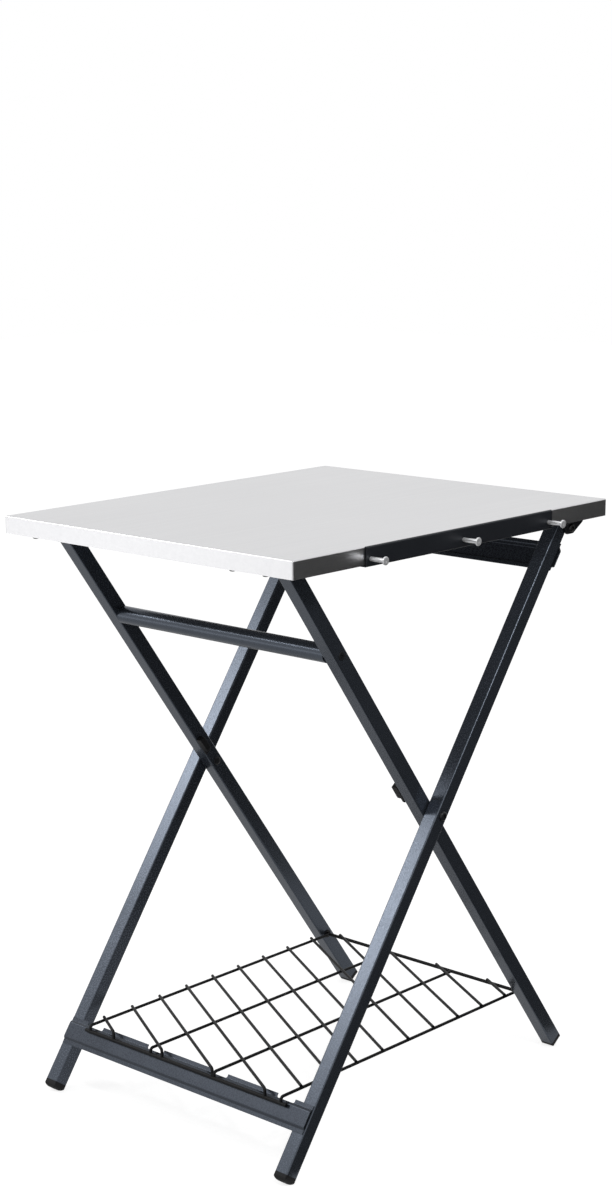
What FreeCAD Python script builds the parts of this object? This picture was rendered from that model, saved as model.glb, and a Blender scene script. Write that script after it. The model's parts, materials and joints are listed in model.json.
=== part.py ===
import FreeCAD, Part
import math
import os

# Outdoor oven table: a folded sheet top on a crossed pair of folding leg frames
# Millimetres, +Z up, origin on the floor under the middle of the table
# X runs along the crossbars, the front is at -Y, the tool rail is on the +X side

# Table top tray
table_width = 600.0
table_depth = 730.0
table_height = 940.0
skirt_height = 27.0
top_sheet = 1.5
tray_edge_radius = 2.0
end_return = 20.0
side_return = 12.0

# Leg tubes and where the two frames cross
leg_size = 25.0
leg_wall = 1.5
leg_corner = 2.5
pivot_height = 491.6
leg_inset = 44.5
leg_side_gap = 1.0

# Hinge line between the top and the inner frame
hinge_inset = 59.3
hinge_drop = 23.0
leg_past_hinge = 12.2

# End caps of the tubes
foot_head = 12.0
foot_round = 8.0
cap_insert = 20.0
plug_head = 3.0
plug_round = 2.0
plug_insert = 4.0
plug_fit = 0.1

# Pressed bars of the outer frame
bar_sheet = 1.5
bar_bend = 1.5
bar_flange = 7.0
bar_slope = 3.5
channel_height = 45.0
channel_depth = 4.5
channel_end_inset = 2.5
notch_width = 36.0
notch_depth = 6.5
notch_corner = 3.0
rear_bar_height = 48.0
rear_bar_depth = 8.0
rear_bar_below_end = 62.0

# Round crossbar of the inner frame
crossbar_radius = 14.0
crossbar_wall = 1.5
crossbar_above_pivot = 345.0
crossbar_plug = 16.0
crossbar_screw_radius = 3.0
crossbar_screw_head_radius = 6.5
crossbar_screw_head = 0.6
crossbar_screw_length = 36.0

# Pivot bolts where the frames cross
pivot_bolt_radius = 4.0
pivot_head_radius = 7.5
pivot_head_height = 4.5
pivot_washer_radius = 9.0
pivot_washer = 0.8
pivot_nut_radius = 7.0
pivot_nut_height = 2.4

# Hinge brackets under the front of the top
bracket_sheet = 2.5
bracket_bend = 2.0
bracket_screw_spacing = 64.0
bracket_screw_overhang = 10.0
bracket_screw_past_ear = 24.0
bracket_plate_depth = 33.0
bracket_corner = 4.0
bracket_front_gap = 0.5
bracket_ear_gap = 0.7
bracket_ear_radius = 11.0
bracket_ear_flat = 0.5
bracket_ear_step = 4.0
bracket_ear_shoulder = 6.0
bracket_ear_past_return = 2.0
hinge_pin_radius = 4.0
hinge_pin_head_radius = 7.0
hinge_pin_head = 3.0
bracket_screw_radius = 2.5
bracket_screw_head_radius = 5.5
bracket_screw_head = 3.2
bracket_screw_past = 1.5

# Catch brackets that take the outer leg tops under the rear of the top
catch_sheet = 2.5
catch_side_gap = 0.8
catch_reach_front = 26.0
catch_reach_rear = 27.0
catch_drop = 25.5
catch_flange = 14.0
catch_corner = 5.0
catch_front_slant = 28.0
catch_rear_slant = 16.0
catch_low_front = 12.0
catch_low_rear = 6.0
catch_wall_above = 22.0
catch_bolt_radius = 4.0
catch_bolt_head_radius = 6.5
catch_bolt_head = 3.5
catch_bolt_below_end = 31.0

# Tool rail and pegs on the +X side
rail_length = 434.0
rail_below_skirt = 2.5
rail_sheet = 1.5
rail_stand_off = 1.5
rail_bend = 0.8
rail_lower_lip = 11.0
peg_spacing = 208.0
peg_below_top = 18.0
peg_radius = 3.3
peg_reach = 29.0
peg_disc_radius = 6.2
peg_disc = 3.0
peg_disc_chamfer = 0.6
peg_stud_radius = 2.5
peg_nut_radius = 4.6
peg_nut_height = 4.0
peg_stud_past = 2.0

# Wire shelf
shelf_height = 112.0
shelf_wire_radius = 2.5
shelf_rod_radius = 3.0
shelf_side_gap = 6.0
shelf_long_wires = 4
shelf_front_below_edge = 13.5
shelf_front_rod_past = 11.0
shelf_hook_bend = 5.0
shelf_diagonal_pitch = 62.4
shelf_diagonal_angle = 29.3
shelf_diagonal_start = 31.0
shelf_diagonal_sink = 0.8
shelf_diagonal_rear_past = 1.0
shelf_diagonal_shortest = 10.0
shelf_diagonal_end_inset = 0.5
shelf_stub = 3.0
shelf_rod_past = 9.0
shelf_rod_chamfer = 1.0

# Bushings that carry the rear rod of the shelf in the inner legs
bushing_radius = 5.0
bushing_flange_radius = 7.0
bushing_flange = 1.8
bushing_insert = 3.0

# Pads inside the inner legs above the crossing, where the folded shelf comes to rest
pad_length = 26.0
pad_reach = 12.0
pad_depth = 10.0
pad_above_pivot = 38.0
pad_round = 2.0
pad_foot_length = 8.0
pad_foot_reach = 5.0

# Pull tab under the middle of the rear bar
tab_middle = 7.5
tab_width = 25.0
tab_sheet = 2.0
tab_seat = 14.0
tab_past_bar = 2.0
tab_reach = 9.0
tab_turn = 12.0
tab_bend = 1.5

# Heads of the screws and bolts, as shares of their height and radius
head_rim_share = 0.5
head_crown_share = 0.62

# Clearances
fit = 0.05
loose = 0.1
seat = 0.3
top_rest_gap = 0.4

# Derived places
half_leg = leg_size / 2.0
skirt_bottom = table_height - skirt_height
top_underside = table_height - top_sheet
hinge_y = -(table_depth / 2.0 - hinge_inset)
hinge_z = table_height - hinge_drop
leg_angle = math.degrees(math.atan2(hinge_z - pivot_height, -hinge_y))
sine = math.sin(math.radians(leg_angle))
cosine = math.cos(math.radians(leg_angle))
inner_above = math.hypot(hinge_y, hinge_z - pivot_height) + leg_past_hinge
hinge_above = inner_above - leg_past_hinge
leg_below = (pivot_height - foot_round - (half_leg - foot_round) * cosine) / sine + foot_round
outer_rest = top_underside - top_rest_gap - pivot_height - plug_round - (half_leg - plug_round) * cosine
outer_above = outer_rest / sine + plug_round
outer_leg_middle = table_width / 2.0 - leg_inset
inner_leg_middle = outer_leg_middle - leg_size - leg_side_gap
inner_face = inner_leg_middle - half_leg
inner_outside = inner_leg_middle + half_leg
outer_face = outer_leg_middle + half_leg
shelf_half_width = inner_face - shelf_side_gap
channel_top_z = shelf_height - shelf_wire_radius - seat
channel_top = (pivot_height - channel_top_z + (half_leg + bar_sheet) * cosine) / sine
shelf_front_down = channel_top + shelf_front_below_edge
shelf_front_up = half_leg + channel_depth + shelf_rod_radius + seat
shelf_front = -shelf_front_down * cosine - shelf_front_up * sine
shelf_front_z = pivot_height - shelf_front_down * sine + shelf_front_up * cosine
shelf_rear = (pivot_height - shelf_height) / math.tan(math.radians(leg_angle))
shelf_hinge_below = (pivot_height - shelf_height) / sine
rail_face = table_width / 2.0 + rail_stand_off + rail_sheet


def vector(x, y, z):
    return FreeCAD.Vector(x, y, z)


# A closed outline of straight runs joined by arcs, in a plane across X, pushed along X
def profile_along_x(points, radii, x_from, x_to):
    corners = [vector(x_from, p[0], p[1]) for p in points]
    edges = []
    starts = []
    ends = []
    for index, corner in enumerate(corners):
        back = corners[index - 1] - corner
        ahead = corners[(index + 1) % len(corners)] - corner
        half = back.getAngle(ahead) / 2.0
        radius = radii[index]
        reach = radius / math.tan(half)
        back.normalize()
        ahead.normalize()
        starts.append(corner + back * reach)
        ends.append(corner + ahead * reach)
        if radius > 0:
            middle = back + ahead
            middle.normalize()
            nearest = corner + middle * (radius / math.sin(half) - radius)
            edges.append(Part.Arc(starts[-1], nearest, ends[-1]).toShape())
        else:
            edges.append(None)
    outline = []
    for index in range(len(corners)):
        following = (index + 1) % len(corners)
        if edges[index] is not None:
            outline.append(edges[index])
        if (starts[following] - ends[index]).Length > 1e-6:
            outline.append(Part.LineSegment(ends[index], starts[following]).toShape())
    face = Part.Face(Part.Wire(Part.__sortEdges__(outline)))
    return face.extrude(vector(x_to - x_from, 0, 0))


# A sheet strip that follows a line of points, with its thickness on the left of the line
def folded_sheet(points, thickness, bend, x_from, x_to):
    offset = []
    turns = []
    for index, point in enumerate(points):
        before = points[max(index - 1, 0)]
        after = points[min(index + 1, len(points) - 1)]
        into = direction(before, point) if index > 0 else direction(point, after)
        out = direction(point, after) if index < len(points) - 1 else into
        turn = into[0] * out[1] - into[1] * out[0]
        turns.append(turn)
        normal = (-into[1] - out[1], into[0] + out[0])
        length = math.hypot(normal[0], normal[1])
        cosine_half = length / 2.0
        step = thickness / cosine_half
        offset.append((point[0] + normal[0] / length * step, point[1] + normal[1] / length * step))
    near = []
    far = []
    for turn in turns:
        if abs(turn) < 1e-9:
            near.append(0.0)
            far.append(0.0)
        elif turn > 0:
            near.append(bend + thickness)
            far.append(bend)
        else:
            near.append(bend)
            far.append(bend + thickness)
    loop = list(points) + offset[::-1]
    radii = near + far[::-1]
    return profile_along_x(loop, radii, x_from, x_to)


def direction(first, second):
    dy = second[0] - first[0]
    dz = second[1] - first[1]
    length = math.hypot(dy, dz)
    return (dy / length, dz / length)


# A pin along X
def pin(x_from, x_to, y, z, radius):
    return Part.makeCylinder(radius, x_to - x_from, vector(x_from, y, z), vector(1, 0, 0))


# A low head with a bevelled rim on a pin along X, growing from its seat towards the given side
def bevelled_head(x_seat, y, z, radius, height, side):
    rim = head_rim_share * height
    rim_disc = Part.makeCylinder(radius, rim)
    crown = Part.makeCone(radius, head_crown_share * radius, height - rim, vector(0, 0, rim))
    head = rim_disc.fuse(crown).removeSplitter()
    head.rotate(vector(0, 0, 0), vector(0, 1, 0), 90 * side)
    head.translate(vector(x_seat, y, z))
    return head


# Frame coordinates have X as it is, Y down the leg from the pivot and Z towards the rear face
def in_inner_frame(shape):
    shape.rotate(vector(0, 0, 0), vector(1, 0, 0), -leg_angle)
    shape.translate(vector(0, 0, pivot_height))
    return shape


def in_outer_frame(shape):
    shape.rotate(vector(0, 0, 0), vector(1, 0, 0), 180.0 + leg_angle)
    shape.translate(vector(0, 0, pivot_height))
    return shape


def mirrored(shape):
    return shape.mirror(vector(0, 0, 0), vector(1, 0, 0))


def rounded_bar(x_middle, width, corner, from_end, to_end):
    start = vector(x_middle - width / 2.0, from_end, -width / 2.0)
    box = Part.makeBox(width, to_end - from_end, width, start)
    along = [edge for edge in box.Edges if abs(edge.tangentAt(edge.FirstParameter).y) > 0.9]
    return box.makeFillet(corner, along)


def square_tube(x_middle, from_end, to_end):
    outside = rounded_bar(x_middle, leg_size, leg_corner, from_end, to_end)
    bore_corner = leg_corner - leg_wall
    bore = rounded_bar(x_middle, leg_size - 2 * leg_wall, bore_corner, from_end - 1, to_end + 1)
    return outside.cut(bore)


# An end cap whose head has all its end edges rounded, with its insert inside the tube
def end_cap(x_middle, tube_end, head, rounding, insert, towards):
    low = min(tube_end, tube_end + towards * head)
    high = max(tube_end, tube_end + towards * head)
    rounds_low = rounding if towards < 0 else 0.0
    rounds_high = rounding if towards > 0 else 0.0
    outline = [(low, -half_leg), (high, -half_leg), (high, half_leg), (low, half_leg)]
    rounds = [rounds_low, rounds_high, rounds_high, rounds_low]
    across = profile_along_x(outline, rounds, -half_leg, half_leg)
    turned = across.copy()
    turned.rotate(vector(0, 0, 0), vector(0, 1, 0), 90)
    shaped = across.common(turned)
    shaped.translate(vector(x_middle, 0, 0))
    body = shaped.common(rounded_bar(x_middle, leg_size, leg_corner, low - 1, high + 1))
    inside = leg_size - 2 * leg_wall - 2 * plug_fit
    back = tube_end - towards * insert
    plug = rounded_bar(x_middle, inside, leg_corner - leg_wall, min(back, tube_end), max(back, tube_end))
    return body.fuse(plug).removeSplitter()


# Inner frame
def inner_leg():
    tube = square_tube(inner_leg_middle, plug_head - inner_above, leg_below - foot_head)
    tube = tube.cut(pin(0, outer_face, 0, 0, pivot_bolt_radius + fit))
    tube = tube.cut(pin(0, outer_face, -hinge_above, 0, hinge_pin_radius + fit))
    tube = tube.cut(pin(0, outer_face, -crossbar_above_pivot, 0, crossbar_screw_radius + loose))
    tube = tube.cut(pin(0, inner_leg_middle, shelf_hinge_below, 0, bushing_radius + loose))
    return in_inner_frame(tube)


def inner_foot_cap():
    cap = end_cap(inner_leg_middle, leg_below - foot_head, foot_head, foot_round, cap_insert, 1)
    return in_inner_frame(cap)


def inner_top_plug():
    plug = end_cap(inner_leg_middle, plug_head - inner_above, plug_head, plug_round, plug_insert, -1)
    return in_inner_frame(plug)


def round_crossbar():
    bar = pin(-inner_face, inner_face, -crossbar_above_pivot, 0, crossbar_radius)
    hollow = inner_face - crossbar_plug
    bar = bar.cut(pin(-hollow, hollow, -crossbar_above_pivot, 0, crossbar_radius - crossbar_wall))
    screw_end = inner_outside - crossbar_screw_length
    for side in (-1, 1):
        first = min(side * (screw_end - 1), side * (inner_face + 1))
        last = max(side * (screw_end - 1), side * (inner_face + 1))
        bar = bar.cut(pin(first, last, -crossbar_above_pivot, 0, crossbar_screw_radius + loose))
    return in_inner_frame(bar)


def crossbar_screw():
    screw_end = inner_outside - crossbar_screw_length
    shank = pin(screw_end, inner_outside, -crossbar_above_pivot, 0, crossbar_screw_radius)
    head_end = inner_outside + crossbar_screw_head
    head = pin(inner_outside, head_end, -crossbar_above_pivot, 0, crossbar_screw_head_radius)
    return in_inner_frame(shank.fuse(head).removeSplitter())


def stop_pad():
    block_start = vector(inner_face - pad_reach, -pad_above_pivot - pad_length, -half_leg)
    block = Part.makeBox(pad_reach, pad_length, pad_depth, block_start)
    outer_edges = []
    for edge in block.Edges:
        if edge.BoundBox.XMax < inner_face - pad_reach + fit and edge.BoundBox.YLength < fit:
            outer_edges.append(edge)
    block = block.makeFillet(pad_round, outer_edges)
    foot_start = vector(inner_face - pad_foot_reach, -pad_above_pivot, -half_leg)
    foot = Part.makeBox(pad_foot_reach, pad_foot_length, pad_depth, foot_start)
    return in_inner_frame(block.fuse(foot).removeSplitter())


def shelf_bushing():
    flange = pin(inner_face - bushing_flange, inner_face, shelf_hinge_below, 0, bushing_flange_radius)
    body = pin(inner_face, inner_face + bushing_insert, shelf_hinge_below, 0, bushing_radius)
    bore = pin(inner_face - 10, inner_face + 10, shelf_hinge_below, 0, shelf_rod_radius + fit)
    return in_inner_frame(flange.fuse(body).cut(bore).removeSplitter())


# Pivot hardware, held by the inner frame
def pivot_bolt():
    seat_x = outer_face + leg_side_gap - pivot_washer
    shank = pin(inner_face, seat_x, 0, 0, pivot_bolt_radius)
    head = bevelled_head(seat_x, 0, 0, pivot_head_radius, pivot_head_height, 1)
    return in_inner_frame(shank.fuse(head).removeSplitter())


def pivot_washer_ring():
    ring = pin(inner_outside, inner_outside + pivot_washer, 0, 0, pivot_washer_radius)
    ring = ring.cut(pin(0, outer_face, 0, 0, pivot_bolt_radius + fit))
    return in_inner_frame(ring)


def pivot_nut():
    return in_inner_frame(bevelled_head(inner_face, 0, 0, pivot_nut_radius, pivot_nut_height, -1))


# Outer frame
def outer_leg():
    tube = square_tube(outer_leg_middle, plug_head - outer_above, leg_below - foot_head)
    tube = tube.cut(pin(0, outer_face + 10, 0, 0, pivot_bolt_radius + fit))
    return in_outer_frame(tube)


def outer_foot_cap():
    cap = end_cap(outer_leg_middle, leg_below - foot_head, foot_head, foot_round, cap_insert, 1)
    return in_outer_frame(cap)


def outer_top_plug():
    plug = end_cap(outer_leg_middle, plug_head - outer_above, plug_head, plug_round, plug_insert, -1)
    return in_outer_frame(plug)


# A shallow pressed section that lies on the legs with its two flanges
def pressed_bar(start, height, depth, side, half_length):
    seat_face = side * half_leg
    crown = side * (half_leg + depth - bar_sheet)
    points = [
        (start, seat_face),
        (start + bar_flange, seat_face),
        (start + bar_flange + bar_slope, crown),
        (start + height - bar_flange - bar_slope, crown),
        (start + height - bar_flange, seat_face),
        (start + height, seat_face),
    ]
    if side < 0:
        points = points[::-1]
    return folded_sheet(points, bar_sheet, bar_bend, -half_length, half_length)


# A round cornered notch in the upper flange of the channel, which a long wire passes through
def wire_notch(x):
    start = vector(x - notch_width / 2.0, channel_top - notch_corner, -leg_size)
    notch = Part.makeBox(notch_width, notch_corner + notch_depth, leg_size, start)
    lower = []
    for edge in notch.Edges:
        if edge.BoundBox.YMin > channel_top + notch_depth - fit and edge.BoundBox.XLength < fit:
            lower.append(edge)
    return notch.makeFillet(notch_corner, lower)


def front_channel():
    bar = pressed_bar(channel_top, channel_height, channel_depth, -1, outer_face - channel_end_inset)
    for x in long_wire_places():
        bar = bar.cut(wire_notch(x))
    return in_outer_frame(bar)


def rear_bar_start():
    return rear_bar_below_end - outer_above


def rear_bar():
    bar = pressed_bar(rear_bar_start(), rear_bar_height, rear_bar_depth, 1, outer_face)
    return in_outer_frame(bar)


def fold_pull_tab():
    edge = rear_bar_start() + rear_bar_height
    turned = math.radians(leg_angle - tab_turn)
    bend_at = (edge + tab_past_bar, half_leg)
    tip = (bend_at[0] + tab_reach * math.cos(turned), half_leg - tab_reach * math.sin(turned))
    points = [tip, bend_at, (edge - tab_seat, half_leg)]
    left = tab_middle - tab_width / 2.0
    return in_outer_frame(folded_sheet(points, tab_sheet, tab_bend, left, left + tab_width))


# Table top
def table_top():
    half_width = table_width / 2.0
    half_depth = table_depth / 2.0
    corner = vector(-half_width, -half_depth, skirt_bottom)
    tray = Part.makeBox(table_width, table_depth, skirt_height, corner)
    rounded = [edge for edge in tray.Edges if edge.BoundBox.ZMax > skirt_bottom + 1]
    tray = tray.makeFillet(tray_edge_radius, rounded)
    inside_width = table_width - 2 * top_sheet
    inside_depth = table_depth - 2 * top_sheet
    hollow = Part.makeBox(
        inside_width,
        inside_depth,
        skirt_height - 2 * top_sheet,
        vector(-inside_width / 2.0, -inside_depth / 2.0, skirt_bottom + top_sheet),
    )
    mouth_width = table_width - 2 * side_return
    mouth_depth = table_depth - 2 * end_return
    mouth = Part.makeBox(
        mouth_width,
        mouth_depth,
        skirt_height / 2.0,
        vector(-mouth_width / 2.0, -mouth_depth / 2.0, skirt_bottom - 1),
    )
    tray = tray.cut(hollow).cut(mouth)
    for y in peg_places():
        tray = tray.cut(pin(mouth_width / 2.0, half_width + 5, y, peg_z(), peg_stud_radius + loose))
    for side in (-1, 1):
        for x in bracket_screw_places():
            below = vector(side * x, bracket_screw_y(), skirt_bottom - 5)
            tray = tray.cut(Part.makeCylinder(bracket_screw_radius + loose, 10, below))
    return tray


def peg_places():
    return [-peg_spacing, 0.0, peg_spacing]


def peg_z():
    return table_height - peg_below_top


def tool_rail():
    half_width = table_width / 2.0
    bottom = skirt_bottom - rail_below_skirt
    points = [
        (half_width, table_height - rail_sheet),
        (rail_face - rail_sheet, table_height - rail_sheet),
        (rail_face - rail_sheet, bottom + rail_sheet),
        (rail_face - rail_sheet - rail_lower_lip, bottom + rail_sheet),
    ]
    rail = folded_sheet(points, rail_sheet, rail_bend, -rail_length / 2.0, rail_length / 2.0)
    rail.rotate(vector(0, 0, 0), vector(0, 0, 1), -90)
    for y in peg_places():
        rail = rail.cut(pin(half_width, rail_face + 5, y, peg_z(), peg_stud_radius + loose))
    return rail


def tool_peg(y):
    inside = table_width / 2.0 - top_sheet - peg_nut_height - peg_stud_past
    stud = pin(inside, rail_face, y, peg_z(), peg_stud_radius)
    shank = pin(rail_face, rail_face + peg_reach - peg_disc, y, peg_z(), peg_radius)
    disc = pin(rail_face + peg_reach - peg_disc, rail_face + peg_reach, y, peg_z(), peg_disc_radius)
    rim = [edge for edge in disc.Edges if edge.Curve.TypeId == "Part::GeomCircle"]
    disc = disc.makeChamfer(peg_disc_chamfer, rim)
    return stud.fuse([shank, disc]).removeSplitter()


def peg_nut(y):
    seat_x = table_width / 2.0 - top_sheet
    corners = []
    for index in range(6):
        angle = math.radians(60 * index)
        corners.append((y + peg_nut_radius * math.cos(angle), peg_z() + peg_nut_radius * math.sin(angle)))
    nut = profile_along_x(corners, [0] * 6, seat_x - peg_nut_height, seat_x)
    return nut.cut(pin(seat_x - 10, seat_x + 1, y, peg_z(), peg_stud_radius + fit))


# Hinge bracket: a plate on the front return and an ear beside the inner leg
def bracket_screw_places():
    outer_screw = inner_face - bracket_ear_gap + bracket_screw_past_ear
    return [outer_screw - bracket_screw_spacing, outer_screw]


def bracket_screw_y():
    return -table_depth / 2.0 + end_return / 2.0


def hinge_bracket():
    places = bracket_screw_places()
    base_z = skirt_bottom + top_sheet
    front = -table_depth / 2.0 + top_sheet + bracket_front_gap
    plate = Part.makeBox(
        places[1] - places[0] + 2 * bracket_screw_overhang,
        bracket_plate_depth,
        bracket_sheet,
        vector(places[0] - bracket_screw_overhang, front, base_z),
    )
    upright = [edge for edge in plate.Edges if abs(edge.tangentAt(edge.FirstParameter).z) > 0.9]
    plate = plate.makeFillet(bracket_corner, upright)
    ear_outside = inner_face - bracket_ear_gap
    ear_inside = ear_outside - bracket_sheet
    outline = [
        (front + bracket_ear_step, base_z),
        (-table_depth / 2.0 + end_return + bracket_ear_past_return, base_z),
        (hinge_y, hinge_z - bracket_ear_radius),
        (hinge_y + bracket_ear_radius, hinge_z - bracket_ear_radius),
        (hinge_y + bracket_ear_radius, hinge_z + bracket_ear_radius),
        (hinge_y - bracket_ear_radius, hinge_z + bracket_ear_radius),
        (front + bracket_ear_step, base_z + bracket_sheet + bracket_ear_step),
    ]
    ear_round = bracket_ear_radius - bracket_ear_flat
    rounds = [0, 0, 0, ear_round, ear_round, bracket_ear_shoulder, 0]
    ear = profile_along_x(outline, rounds, ear_inside, ear_outside)
    bracket = plate.fuse(ear).removeSplitter()
    bracket = bracket.cut(pin(ear_inside - 5, ear_outside + 5, hinge_y, hinge_z, hinge_pin_radius + fit))
    for x in places:
        hole = Part.makeCylinder(bracket_screw_radius + loose, 20, vector(x, bracket_screw_y(), base_z - 10))
        bracket = bracket.cut(hole)
    return bracket


def hinge_pin():
    seat_x = inner_face - bracket_ear_gap - bracket_sheet
    shank = pin(seat_x, inner_outside, hinge_y, hinge_z, hinge_pin_radius)
    head = bevelled_head(seat_x, hinge_y, hinge_z, hinge_pin_head_radius, hinge_pin_head, -1)
    return shank.fuse(head).removeSplitter()


def bracket_screw(x):
    top = skirt_bottom + top_sheet + bracket_sheet + bracket_screw_past
    shank = Part.makeCylinder(
        bracket_screw_radius,
        top - skirt_bottom,
        vector(x, bracket_screw_y(), skirt_bottom),
    )
    head = bevelled_head(0, 0, 0, bracket_screw_head_radius, bracket_screw_head, 1)
    head.rotate(vector(0, 0, 0), vector(0, 1, 0), 90)
    head.translate(vector(x, bracket_screw_y(), skirt_bottom))
    return shank.fuse(head).removeSplitter()


# Catch bracket: two cheeks beside the outer leg top, joined by a rear wall
def outer_point(down, front_up):
    y = -down * cosine - front_up * sine
    z = pivot_height - down * sine + front_up * cosine
    return (y, z)


def catch_bolt_place():
    down = catch_bolt_below_end - outer_above
    return outer_point(down, -half_leg - catch_bolt_radius - seat)


def catch_rear():
    return outer_point(-outer_above, 0)[0] + catch_reach_rear


def catch_bracket():
    bolt = catch_bolt_place()
    front = bolt[0] - catch_reach_front
    rear = catch_rear()
    low = skirt_bottom - catch_drop
    outline = [
        (front, top_underside),
        (front, low + catch_front_slant),
        (bolt[0] - catch_low_front, low),
        (bolt[0] + catch_low_rear, low),
        (rear, low + catch_rear_slant),
        (rear, top_underside),
    ]
    rounds = [0, catch_corner, catch_corner, catch_corner, catch_corner / 2.0, 0]
    inside = outer_leg_middle - half_leg - catch_side_gap
    outside = outer_face + catch_side_gap
    cheeks = [
        profile_along_x(outline, rounds, inside - catch_sheet, inside),
        profile_along_x(outline, rounds, outside, outside + catch_sheet),
    ]
    wall = Part.makeBox(
        outside - inside,
        catch_sheet,
        top_underside - low - catch_wall_above,
        vector(inside, rear - catch_sheet, low + catch_wall_above),
    )
    flange_inside = Part.makeBox(
        catch_flange,
        rear - front,
        catch_sheet,
        vector(inside - catch_sheet - catch_flange, front, top_underside - catch_sheet),
    )
    flange_outside = Part.makeBox(
        catch_flange,
        rear - front,
        catch_sheet,
        vector(outside + catch_sheet, front, top_underside - catch_sheet),
    )
    bracket = cheeks[0].fuse([cheeks[1], wall, flange_inside, flange_outside]).removeSplitter()
    return bracket.cut(pin(inside - 10, outside + 10, bolt[0], bolt[1], catch_bolt_radius + fit))


def catch_bolt():
    bolt = catch_bolt_place()
    inside = outer_leg_middle - half_leg - catch_side_gap - catch_sheet
    outside = outer_face + catch_side_gap + catch_sheet
    shank = pin(inside, outside, bolt[0], bolt[1], catch_bolt_radius)
    head = bevelled_head(outside, bolt[0], bolt[1], catch_bolt_head_radius, catch_bolt_head, 1)
    tail = bevelled_head(inside, bolt[0], bolt[1], catch_bolt_head_radius, catch_bolt_head, -1)
    return shank.fuse([head, tail]).removeSplitter()


# Wire shelf
def wire(start, end):
    along = end - start
    return Part.makeCylinder(shelf_wire_radius, along.Length, start, along)


def long_wire_places():
    spacing = 2 * shelf_half_width / (shelf_long_wires - 1)
    return [-shelf_half_width + index * spacing for index in range(shelf_long_wires)]


# A wire that runs level to its corner above the front rod, bends down and ends in that rod
def hooked_wire(start, corner):
    along = corner - start
    along.normalize()
    down = vector(0, 0, -1)
    arc_start = corner - along * shelf_hook_bend
    arc_end = corner + down * shelf_hook_bend
    inset = shelf_hook_bend * (1 - math.sqrt(0.5))
    arc_middle = corner - along * inset + down * inset
    end = vector(corner.x, corner.y, shelf_front_z)
    path = Part.Wire([
        Part.LineSegment(start, arc_start).toShape(),
        Part.Arc(arc_start, arc_middle, arc_end).toShape(),
        Part.LineSegment(arc_end, end).toShape(),
    ])
    ring = Part.Wire([Part.Circle(start, along, shelf_wire_radius).toShape()])
    return path.makePipeShell([ring], True, False)


def long_wires():
    wires = []
    for x in long_wire_places():
        start = vector(x, shelf_rear, shelf_height)
        wires.append(hooked_wire(start, vector(x, shelf_front, shelf_height)))
    return wires


# Parallel wires across the long ones, from the left side or the rear rod to the right side or the front rod
def diagonal_wires():
    wires = []
    z = shelf_height + 2 * shelf_wire_radius - shelf_diagonal_sink
    slope = math.tan(math.radians(shelf_diagonal_angle))
    left = -shelf_half_width - shelf_stub
    right = shelf_half_width + shelf_wire_radius - shelf_diagonal_end_inset
    high = shelf_rear + shelf_diagonal_rear_past
    crossing = shelf_front + shelf_diagonal_start
    while crossing - slope * 2 * shelf_half_width < high - shelf_diagonal_shortest:
        y_left = crossing + slope * (-shelf_half_width - left)
        y_right = crossing - slope * (right + shelf_half_width)
        x_start = left if y_left < high else left + (y_left - high) / slope
        start = vector(x_start, min(y_left, high), z)
        if y_right > shelf_front + shelf_hook_bend:
            wires.append(wire(start, vector(right, y_right, z)))
        else:
            x_front = left + (y_left - shelf_front) / slope
            wires.append(hooked_wire(start, vector(x_front, shelf_front, z)))
        crossing += shelf_diagonal_pitch
    return wires


def shelf_rod(half_length, y, z):
    rod = pin(-half_length, half_length, y, z, shelf_rod_radius)
    ends = [edge for edge in rod.Edges if edge.Curve.TypeId == "Part::GeomCircle"]
    return rod.makeChamfer(shelf_rod_chamfer, ends)


def wire_shelf():
    front = shelf_rod(shelf_half_width + shelf_front_rod_past, shelf_front, shelf_front_z)
    rear = shelf_rod(shelf_half_width + shelf_rod_past, shelf_rear, shelf_height)
    return front.fuse([rear] + long_wires() + diagonal_wires()).removeSplitter()


def both_sides(shape):
    return [shape, mirrored(shape)]


def save(name, shapes):
    solids = shapes if isinstance(shapes, list) else [shapes]
    whole = solids[0] if len(solids) == 1 else Part.makeCompound(solids)
    if whole.ShapeType == "Compound" and len(whole.Solids) == 1:
        whole = whole.Solids[0]
    whole.exportStep("parts/" + name + ".step")


def save_pair(left_name, right_name, shape):
    save(right_name, shape)
    save(left_name, mirrored(shape))


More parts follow.
